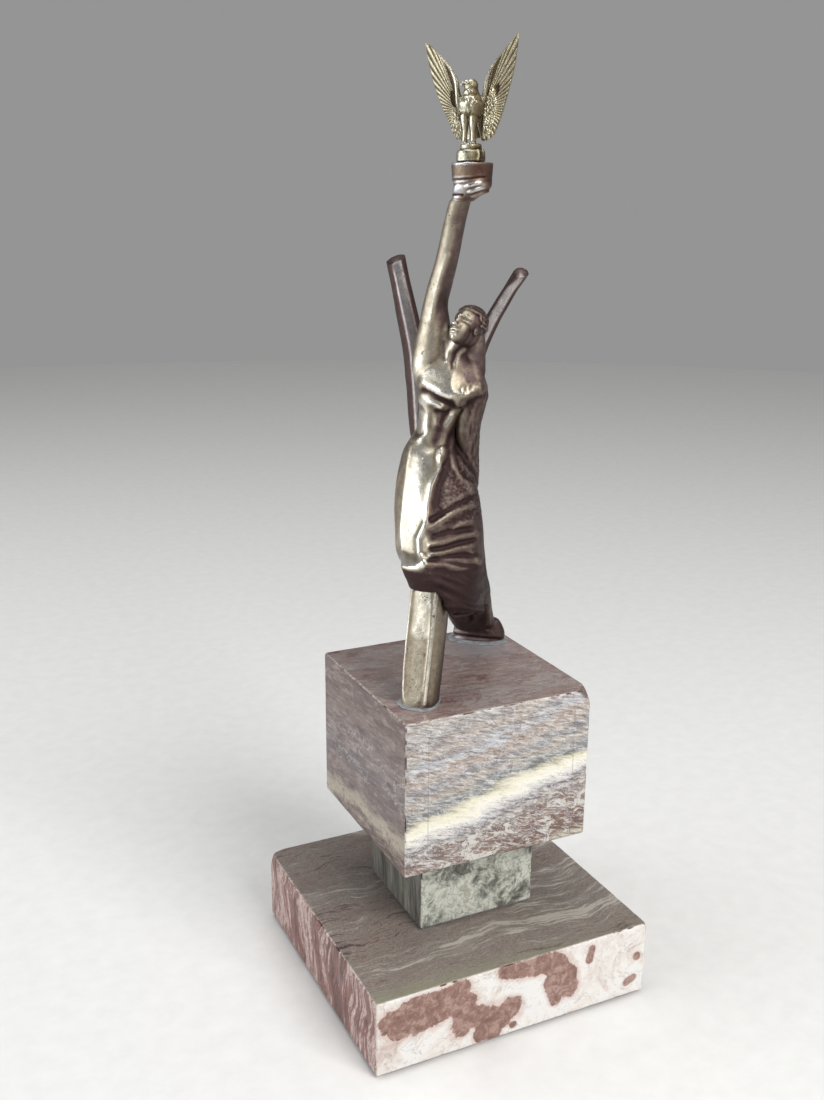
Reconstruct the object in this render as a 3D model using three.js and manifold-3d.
// Figure trophy: a striding brass figure with a raised arm, an eagle finial screwed into its
// hand, and a stepped marble base held together by one tie rod.
// Millimetres, +Z up, origin under the middle of the base. The figure strides towards the
// base's corner at -X -Y, so its own group is turned by an eighth of a turn.
import * as THREE from "three";
import { mergeVertices } from "three/addons/utils/BufferGeometryUtils.js";
import Module from "manifold-3d";

const wasm = await Module();
wasm.setup();

// ---------------------------------------------------------------- driving dimensions
const gap = 0.3; // clearance left between two pieces that are bonded, brazed or seated
const bed = 0.8; // thickness of each adhesive bed between the stones
const chamfer = 1.2; // worn arris of the stones

const feltThickness = 1.5;
const feltInset = 4; // how far the felt stays inside the slab's edge

const slab = { width: 150, depth: 146, height: 39.5 };
const neck = { width: 64, depth: 62, height: 43 };
const block = { width: 100, depth: 99, height: 78.6 };

const rodDiameter = 8; // M8 tie rod
const nutAcrossFlats = 13;
const nutHeight = 6.5;
const washerDiameter = 24;
const washerThickness = 1.6;
const nutPocketDepth = 14; // counterbore under the slab
const anchorDiameter = 12; // threaded anchor bonded into the upper block
const anchorLength = 22;

const figureHeight = 294.5; // from the block's top to the higher wing tip of the eagle
const studDiameter = 6; // studs under the figure's two feet
const studInBlock = 22;
const studInFoot = 8;
const resinWidth = 3; // visible ring of adhesive round each foot
const resinHeight = 1.2;
const finialStudDiameter = 5; // threaded stud between the cup in the hand and the eagle
const finialStudInCup = 9;
const finialStudInPedestal = 5;

// ---------------------------------------------------------------- places that follow from them
const slabBottom = feltThickness;
const slabTop = slabBottom + slab.height;
const neckBottom = slabTop + bed;
const neckTop = neckBottom + neck.height;
const blockBottom = neckTop + bed;
const blockTop = blockBottom + block.height;

const holeRadius = (diameter) => diameter / 2 + gap;
const nutSeat = slabBottom + nutPocketDepth; // ceiling of the counterbore, where the washer bears
const washerBottom = nutSeat - gap - washerThickness;
const nutBottom = washerBottom - gap - nutHeight;
const rodBottom = nutBottom - 1.5;
const anchorTop = blockBottom + gap + anchorLength;
const rodTop = anchorTop - gap;

// The sculpture's sections below are written for this height and scaled to figureHeight.
const drawnHeight = 294.5;
const scale = figureHeight / drawnHeight;
const turnOfFigure = -Math.PI / 4;

// ---------------------------------------------------------------- materials
const finish = (color, roughness, metalness) =>
  new THREE.MeshStandardMaterial({ color, roughness, metalness });
const materials = {
  felt: finish(0x24382c, 0.95, 0),
  marble: finish(0xb3a093, 0.35, 0),
  palemarble: finish(0xb9b6a6, 0.4, 0),
  adhesive: finish(0x8f969b, 0.7, 0),
  steel: finish(0x9a9a98, 0.4, 1),
  brass: finish(0x9c8150, 0.32, 1),
  darkbrass: finish(0x5a473a, 0.48, 1),
  eaglebrass: finish(0xb89a4c, 0.35, 1),
};

// ---------------------------------------------------------------- solids
// A closed three.js geometry as a manifold-3d solid.
function solidOf(geometry) {
  const bare = geometry.index ? geometry.toNonIndexed() : geometry.clone();
  bare.deleteAttribute("normal");
  bare.deleteAttribute("uv");
  const merged = mergeVertices(bare, 1e-4);
  return new wasm.Manifold(
    new wasm.Mesh({
      numProp: 3,
      vertProperties: merged.attributes.position.array,
      triVerts: new Uint32Array(merged.index.array),
    }),
  );
}

// A manifold-3d solid as a flat-shaded three.js geometry.
function geometryOf(solid) {
  const mesh = solid.getMesh();
  const geometry = new THREE.BufferGeometry();
  geometry.setAttribute("position", new THREE.BufferAttribute(mesh.vertProperties, 3));
  geometry.setIndex(new THREE.BufferAttribute(mesh.triVerts, 1));
  return geometry;
}

// A solid turned round the vertical axis through (x, y); profile points are [radius, z].
function turned(profile, { x = 0, y = 0, segments = 28 } = {}) {
  const points = profile.map(([radius, z]) => new THREE.Vector2(radius, z));
  const geometry = new THREE.LatheGeometry(points, segments);
  geometry.rotateX(Math.PI / 2);
  geometry.translate(x, y, 0);
  return solidOf(geometry);
}

// A round bar from z0 to z1.
function bar(radius, z0, z1, place) {
  return turned([[0, z0], [radius, z0], [radius, z1], [0, z1]], place);
}

// A round sleeve or washer from z0 to z1.
function sleeve(outer, inner, z0, z1, place) {
  return turned([[inner, z0], [outer, z0], [outer, z1], [inner, z1], [inner, z0]], place);
}

// A hexagonal prism measured across its flats.
function hexagon(acrossFlats, z0, z1) {
  return bar(acrossFlats / 2 / Math.cos(Math.PI / 6), z0, z1, { segments: 6 });
}

// A rectangular stone with worn edges, centred on the vertical axis.
function stone({ width, depth, height }, z0) {
  const outline = new THREE.Shape();
  const x = width / 2 - chamfer;
  const y = depth / 2 - chamfer;
  outline.moveTo(-x, -y).lineTo(x, -y).lineTo(x, y).lineTo(-x, y).closePath();
  const geometry = new THREE.ExtrudeGeometry(outline, {
    depth: height - 2 * chamfer,
    bevelThickness: chamfer,
    bevelSize: chamfer,
    bevelSegments: 1,
  });
  geometry.translate(0, 0, z0 + chamfer);
  return solidOf(geometry);
}

// A flat rectangular plate, centred on the vertical axis.
function plate(width, depth, z0, thickness) {
  const geometry = new THREE.BoxGeometry(width, depth, thickness);
  geometry.translate(0, 0, z0 + thickness / 2);
  return solidOf(geometry);
}

// A body carried up through horizontal sections. Each section is
// [z, x, y, half width, half depth, turn in degrees, power]: a superellipse, round at power 2
// and squarer above it. grow makes the same body larger all over, to cut its neighbour.
function lofted(sections, { sides = 16, grow = 0, phase = 0 } = {}) {
  const rings = sections.map(([z, x, y, halfX, halfY, turn = 0, power = 2], level) => {
    const lift = level === 0 ? -grow : level === sections.length - 1 ? grow : 0;
    const angle = THREE.MathUtils.degToRad(turn);
    return Array.from({ length: sides }, (_, side) => {
      const a = (2 * Math.PI * (side + phase)) / sides;
      const bulge = (value) => Math.sign(value) * Math.abs(value) ** (2 / power);
      const u = (halfX * scale + grow) * bulge(Math.cos(a));
      const v = (halfY * scale + grow) * bulge(Math.sin(a));
      return [
        x * scale + u * Math.cos(angle) - v * Math.sin(angle),
        y * scale + u * Math.sin(angle) + v * Math.cos(angle),
        z * scale + lift,
      ];
    });
  });
  const positions = rings.flat(2);
  const index = [];
  for (let level = 0; level < rings.length - 1; level += 1) {
    for (let side = 0; side < sides; side += 1) {
      const a = level * sides + side;
      const b = level * sides + ((side + 1) % sides);
      index.push(a, b, b + sides, a, b + sides, a + sides);
    }
  }
  const top = (rings.length - 1) * sides;
  for (let side = 1; side < sides - 1; side += 1) {
    index.push(0, side + 1, side);
    index.push(top, top + side, top + side + 1);
  }
  const geometry = new THREE.BufferGeometry();
  geometry.setAttribute("position", new THREE.Float32BufferAttribute(positions, 3));
  geometry.setIndex(index);
  return solidOf(geometry);
}

// A plate cut to an outline in the XZ plane, its middle plane at y, turned about a vertical axis.
function upright(outline, { y, thickness, axisX, turn }) {
  const shape = new THREE.Shape(outline.map(([x, z]) => new THREE.Vector2(x * scale, z * scale)));
  const geometry = new THREE.ExtrudeGeometry(shape, {
    depth: thickness * scale,
    bevelEnabled: false,
  });
  geometry.translate(-axisX * scale, 0, (-thickness * scale) / 2);
  geometry.rotateX(Math.PI / 2);
  geometry.rotateZ(THREE.MathUtils.degToRad(turn));
  geometry.translate(axisX * scale, y * scale, 0);
  return solidOf(geometry);
}

// An egg with its long axis along a direction.
function egg(centre, radii, direction) {
  const geometry = new THREE.SphereGeometry(1, 16, 12);
  geometry.scale(...radii);
  const along = new THREE.Vector3(0, 1, 0);
  geometry.applyQuaternion(
    new THREE.Quaternion().setFromUnitVectors(along, new THREE.Vector3(...direction).normalize()),
  );
  geometry.translate(...centre);
  geometry.scale(scale, scale, scale);
  return solidOf(geometry);
}

// ---------------------------------------------------------------- scene graph
const trophy = new THREE.Group();
const figure = new THREE.Group();
figure.rotation.z = turnOfFigure;
figure.position.z = blockTop;
trophy.add(figure);

function piece(group, name, material, solid) {
  const mesh = new THREE.Mesh(geometryOf(solid), materials[material]);
  mesh.name = name;
  group.add(mesh);
}

// ---------------------------------------------------------------- the sculpture's sections
// Heights are from the block's top; +X is the figure's left, -Y is the way it strides.
const frontFoot = { x: -2.8, y: -44, radius: 9.4 };
const rearFoot = { x: -0.6, y: 47.8 };

const frontLegSections = [
  [gap / scale, frontFoot.x, frontFoot.y, frontFoot.radius, frontFoot.radius, 0, 2.6],
  [7, -2.8, -43.4, 9.6, 9.6, 0, 2.6],
  [22, -2.4, -40.5, 9.7, 10.3, 0, 2.6],
  [38, -2.3, -36, 9.6, 10.8, 0, 2.6],
  [48, -2.5, -33.5, 9.6, 11, 0, 2.6],
  [58, -2.8, -31, 9.4, 10.8],
];
const rearFootSections = [
  [gap / scale, rearFoot.x, rearFoot.y, 13.6, 8, 10, 2.5],
  [3.5, -0.4, 47.8, 13.9, 8.2, 10, 2.5],
  [8, -0.6, 47.4, 12.8, 7.8, 11],
  [11.5, -1, 46.8, 11.2, 7, 12],
];
const rearLegSections = [
  [6, -1.6, 46.4, 11.4, 7.4, 12],
  [15, -3.4, 41, 12.4, 8.6, 12],
  [30, -4.2, 31.4, 13.2, 10.5, 10],
  [45, -3.4, 20, 13.6, 13, 8],
  [58, -2.4, 9, 14, 13.5],
  [70, -3, 6, 13.6, 11],
];
const skirtSections = [
  [50, 1.6, -18.5, 16.4, 21.6, 0, 2.4],
  [57, -0.2, -20.6, 19.6, 24.4, 0, 2.4],
  [64, -1.6, -19.6, 20.8, 23.8, 0, 2.3],
  [76, -3.2, -16, 21, 22],
  [87, -5, -13.5, 20.6, 19.5],
  [98, -6.6, -11, 19.3, 17],
  [107, -8.4, -9.4, 16.8, 14.6],
  [114, -10.6, -8, 13.4, 12.6],
  [121, -10.4, -7, 10.4, 10.8],
];
const torsoSections = [
  [115, -10.6, -6, 9.2, 9.4],
  [121, -9, -5.4, 8.2, 9],
  [127, -7.8, -5.2, 8.8, 9],
  [133, -6.6, -5.6, 10, 9.8],
  [137.5, -4, -6.4, 13, 11],
  [142, -0.6, -6.6, 16, 11.8],
  [147, -1, -6, 16.8, 11.2],
  [152, -2, -5, 15.6, 9.4],
  [156.5, -1, -4.4, 11.4, 7.2],
  [160, 0.4, -4.6, 6.2, 5.4],
];
const headCentre = [6.4, -8.6, 173];
const headUp = [0.27, 0.5, 0.82]; // the head is tipped back to look up at the raised hand
const neckSections = [
  [156, 0.2, -4.6, 4.8, 5],
  [162, 1.4, -5.4, 4.2, 4.6],
  [168, 4, -7, 4.2, 4.8],
  [172, 5.6, -8, 4.2, 5],
];
const raisedArmSections = [
  [142, -12.4, -3, 6.6, 7.6],
  [150, -13.3, -2, 7.8, 9],
  [157, -13.2, -2, 7.9, 8.6],
  [164, -12.4, -2, 7.6, 8],
  [171, -11.6, -3, 6.3, 7],
  [180, -10.4, -4, 5.8, 6.4],
  [189, -8, -5, 5.6, 6],
  [201, -4.4, -6, 5.2, 5.6],
  [214, -1.4, -7, 5, 5.2],
  [224.5, 1.2, -8, 4.9, 5],
  [228, 2.2, -8, 4.9, 5],
];
const cup = { x: 6.8, y: -8, radius: 9.3, top: 241.8 };
const handSections = [
  [226.6, 2.2, cup.y, 5.2, 5.4],
  [229, 3.6, cup.y, 6.9, 6.6],
  [231.5, 5.8, cup.y, 8.4, 7.6],
  [234, 6.8, cup.y, 8.4, 8.2],
  [237, cup.x, cup.y, cup.radius - 0.2, 9],
  [cup.top, cup.x, cup.y, cup.radius, cup.radius],
];
const loweredArmSections = [
  [98, 8.4, 0, 4, 5.4],
  [105, 8, -0.4, 4.6, 6],
  [114, 7.4, -0.6, 5.2, 6.4],
  [124, 8, -1.4, 5.6, 6.6],
  [134, 9.6, -2.4, 5.6, 6.4],
  [142, 11.8, -3.6, 5, 6],
  [149, 12.2, -4.4, 4.6, 5.6],
];
const capeSections = [
  [73, -4.6, 10.4, 15.2, 6, 0, 2.6],
  [84, -6, 9.5, 15.4, 5.6, 0, 2.6],
  [104, -7, 8.6, 15.4, 5, 0, 2.6],
  [122, -8, 8.6, 15.4, 4.4, 0, 2.6],
  [138, -8, 9.4, 16, 3.8, 0, 2.6],
  [150, -8, 10.4, 17, 3.2, 0, 2.6],
  [158, -8, 11.2, 16.4, 2.6, 0, 2.6],
];
const rightWingSections = [
  [118, -22, 10.5, 6, 5],
  [138, -23.6, 11, 6.4, 4.8],
  [156, -25.4, 12, 6.2, 4.6],
  [170, -28.6, 12.6, 5.4, 4.4],
  [184, -32.2, 13.2, 4.8, 4.2],
  [199.5, -36.4, 14, 4.2, 4],
];
const leftWingSections = [
  [124, 2, 10.5, 5.6, 4.6],
  [142, 3.4, 11, 6, 4.6],
  [156, 7.6, 12, 5.4, 4.4],
  [168, 12.6, 12.6, 4.4, 4.2],
  [181, 18.6, 13.2, 3.8, 4],
  [195, 25.8, 14, 3.2, 3.8],
];

// The eagle stands on the finial axis, in front of its own wings.
const finial = { x: 6.2, y: -8 };
const pedestalBottom = cup.top * scale + gap;
const pedestalTop = 249.9 * scale;
const eagleBodySections = [
  [256, 6.2, -8, 3, 2.8],
  [259, 6.3, -8.4, 4.6, 4.2],
  [262.5, 6.4, -8.8, 5.4, 5.2],
  [266.5, 6.2, -9, 6.8, 5.4],
  [270, 6, -8.6, 5.4, 4.6],
  [273, 5.8, -8.2, 3.8, 3.6],
  [275.6, 5.7, -8.2, 3.6, 3.8],
  [277, 5.7, -8.2, 2.2, 2.6],
];
const rightEagleWing = [
  [0.8, 250.6], [4.4, 257.5], [4.6, 266.5], [0.2, 268.5], [-0.9, 273.5], [-3.2, 279.2],
  [-10.2, 286.9], [-15.8, 291.4], [-13.8, 283], [-11.7, 274.1], [-8.6, 266.2], [-4.6, 257.7],
  [-2.2, 253.2],
];
const leftEagleWing = [
  [10.6, 250.4], [15.8, 251.9], [18.9, 256.8], [20.9, 262.6], [22.3, 268.9], [24.1, 278.5],
  [25.4, 287.4], [25.7, 294.5], [19.1, 286.7], [14, 281.1], [12.8, 276.4], [12.5, 269.6],
  [8, 266.5], [8.2, 257.5],
];

// ---------------------------------------------------------------- base
// A point of the figure's group, in the base's frame.
function onBlock({ x, y }) {
  const c = Math.cos(turnOfFigure);
  const s = Math.sin(turnOfFigure);
  return { x: (x * c - y * s) * scale, y: (x * s + y * c) * scale };
}
const onFigure = ({ x, y }) => ({ x: x * scale, y: y * scale });

function buildBase() {
  const rodHole = holeRadius(rodDiameter);
  const anchorHole = holeRadius(anchorDiameter);
  const pocket = washerDiameter / 2 + 1;
  const felt = plate(
    slab.width - 2 * feltInset,
    slab.depth - 2 * feltInset,
    0,
    feltThickness - gap,
  );
  piece(trophy, "felt_pad", "felt", felt);

  const slabSolid = stone(slab, slabBottom)
    .subtract(bar(pocket, slabBottom - 1, nutSeat))
    .subtract(bar(rodHole, slabBottom, slabTop + 1));
  piece(trophy, "base_slab", "marble", slabSolid);

  const beds = [
    ["lower_adhesive_bed", slabTop],
    ["upper_adhesive_bed", neckTop],
  ];
  const bedInset = 2 * chamfer;
  for (const [name, z] of beds) {
    const layer = plate(neck.width - bedInset, neck.depth - bedInset, z + gap / 2, bed - gap);
    piece(trophy, name, "adhesive", layer.subtract(bar(rodHole, z, z + bed)));
  }

  const neckSolid = stone(neck, neckBottom).subtract(bar(rodHole, neckBottom - 1, neckTop + 1));
  piece(trophy, "neck_block", "palemarble", neckSolid);

  const studHole = holeRadius(studDiameter);
  let blockSolid = stone(block, blockBottom).subtract(
    bar(anchorHole, blockBottom - 1, anchorTop + gap),
  );
  for (const foot of [frontFoot, rearFoot]) {
    blockSolid = blockSolid.subtract(
      bar(studHole, blockTop - studInBlock - gap, blockTop + 1, onBlock(foot)),
    );
  }
  piece(trophy, "upper_block", "marble", blockSolid);
}

function buildTieRod() {
  const bore = holeRadius(rodDiameter);
  piece(trophy, "tie_rod", "steel", bar(rodDiameter / 2, rodBottom, rodTop));
  piece(
    trophy,
    "rod_anchor",
    "steel",
    sleeve(anchorDiameter / 2, bore, blockBottom + gap, anchorTop),
  );
  piece(
    trophy,
    "clamp_washer",
    "steel",
    sleeve(washerDiameter / 2, bore, washerBottom, washerBottom + washerThickness),
  );
  const nut = hexagon(nutAcrossFlats, nutBottom, nutBottom + nutHeight).subtract(
    bar(bore, nutBottom - 1, nutBottom + nutHeight + 1),
  );
  piece(trophy, "clamp_nut", "steel", nut);
}

// ---------------------------------------------------------------- feet
function buildFeet() {
  const feet = [
    ["front", frontFoot, "front_leg", "brass", frontLegSections],
    ["rear", rearFoot, "rear_foot", "darkbrass", rearFootSections],
  ];
  for (const [side, foot, name, material, sections] of feet) {
    const place = onFigure(foot);
    piece(figure, `${side}_stud`, "steel", bar(studDiameter / 2, -studInBlock, studInFoot, place));

    const bore = bar(holeRadius(studDiameter), -1, studInFoot + gap, place);
    const cutters = side === "front" ? bore.add(lofted(skirtSections, { grow: gap })) : bore;
    piece(figure, name, material, lofted(sections).subtract(cutters));

    const foot0 = sections[0];
    const spread = resinWidth / scale;
    const outer = lofted([
      [0, foot0[1], foot0[2], foot0[3] + spread, foot0[4] + spread, foot0[5], 2.2],
      [resinHeight / scale, foot0[1], foot0[2], foot0[3] + 0.8, foot0[4] + 0.8, foot0[5], 2.2],
    ]);
    const inner = lofted([[-1, ...foot0.slice(1)], ...sections], { grow: gap });
    piece(figure, `${side}_foot_adhesive`, "adhesive", outer.subtract(inner));
  }
}

// ---------------------------------------------------------------- figure
function buildFigure() {
  const cut = (sections, options) => lofted(sections, { ...options, grow: gap });
  const wing = { sides: 4, phase: 0 };

  const skirt = lofted(skirtSections);
  const skirtCutter = cut(skirtSections);
  const torsoCutter = cut(torsoSections);
  const armCutter = cut(raisedArmSections);
  piece(figure, "draped_skirt", "brass", skirt);
  piece(figure, "torso", "brass", lofted(torsoSections).subtract(skirtCutter));

  const rearLeg = lofted(rearLegSections)
    .subtract(skirtCutter)
    .subtract(cut(rearFootSections));
  piece(figure, "rear_leg", "darkbrass", rearLeg);

  const arm = lofted(raisedArmSections).subtract(torsoCutter);
  piece(figure, "raised_arm", "brass", arm);

  const hand = lofted(handSections, { sides: 20 })
    .subtract(armCutter)
    .subtract(
      bar(
        holeRadius(finialStudDiameter),
        cup.top * scale - finialStudInCup,
        cup.top * scale + 1,
        onFigure(finial),
      ),
    );
  piece(figure, "hand_cup", "darkbrass", hand);

  const head = egg(headCentre, [7.6, 10.4, 8.6], headUp)
    .add(lofted(neckSections))
    .subtract(torsoCutter)
    .subtract(armCutter);
  piece(figure, "head", "brass", head);

  const loweredArm = lofted(loweredArmSections).subtract(torsoCutter).subtract(skirtCutter);
  piece(figure, "lowered_arm", "darkbrass", loweredArm);
  const loweredCutter = cut(loweredArmSections);

  const cape = lofted(capeSections)
    .subtract(torsoCutter)
    .subtract(skirtCutter)
    .subtract(loweredCutter)
    .subtract(armCutter)
    .subtract(cut(rearLegSections));
  piece(figure, "cape", "darkbrass", cape);
  const capeCutter = cut(capeSections);

  const bars = [
    ["right_cape_wing", rightWingSections],
    ["left_cape_wing", leftWingSections],
  ];
  for (const [name, sections] of bars) {
    const body = lofted(sections, wing)
      .subtract(capeCutter)
      .subtract(torsoCutter)
      .subtract(skirtCutter)
      .subtract(armCutter)
      .subtract(loweredCutter);
    piece(figure, name, "darkbrass", body);
  }
}

// ---------------------------------------------------------------- eagle finial
function buildEagle() {
  const axis = onFigure(finial);
  const studBottom = cup.top * scale - finialStudInCup + gap;
  const studTop = pedestalBottom + finialStudInPedestal;
  piece(figure, "eagle_stud", "steel", bar(finialStudDiameter / 2, studBottom, studTop, axis));

  const step = pedestalBottom + (pedestalTop - pedestalBottom) * 0.6;
  const pedestal = turned(
    [
      [0, pedestalBottom],
      [6.5 * scale, pedestalBottom],
      [6.3 * scale, step],
      [5.5 * scale, step + 0.4],
      [5.1 * scale, pedestalTop - 0.6],
      [4.5 * scale, pedestalTop],
      [0, pedestalTop],
    ],
    axis,
  ).subtract(
    bar(holeRadius(finialStudDiameter), pedestalBottom - 1, studTop + gap, axis),
  );
  piece(figure, "eagle_pedestal", "eaglebrass", pedestal);

  const foot = pedestalTop / scale + gap / scale;
  let body = lofted(eagleBodySections);
  for (const side of [-1, 1]) {
    body = body.add(
      lofted(
        [
          [foot, finial.x + side * 2.2, -9, 1.7, 2],
          [foot + 3, finial.x + side * 2.1, -8.6, 1.3, 1.4],
          [258.5, finial.x + side * 1.8, -8.4, 1.8, 2],
        ],
        { sides: 8 },
      ),
    );
  }
  body = body.add(
    lofted(
      [
        [foot, finial.x, -5.4, 2.6, 0.9],
        [262, finial.x, -5.8, 3.2, 1.8],
      ],
      { sides: 8 },
    ),
  );
  body = body.add(egg([3.4, -9.6, 274.4], [1, 2, 1.1], [-0.85, -0.5, -0.1]));
  piece(figure, "eagle_body", "eaglebrass", body);

  const bodyCutter = lofted(eagleBodySections, { grow: gap });
  const wings = [
    ["eagle_wing_right", rightEagleWing, -12],
    ["eagle_wing_left", leftEagleWing, 12],
  ];
  const legRoom = bar(4.6 * scale, pedestalTop - 1, 259 * scale, axis);
  for (const [name, outline, turn] of wings) {
    const wing = upright(outline, { y: -7.6, thickness: 2.4, axisX: finial.x, turn })
      .subtract(bodyCutter)
      .subtract(legRoom);
    piece(figure, name, "eaglebrass", wing);
  }
}

buildBase();
buildTieRod();
buildFeet();
buildFigure();
buildEagle();

export default trophy;
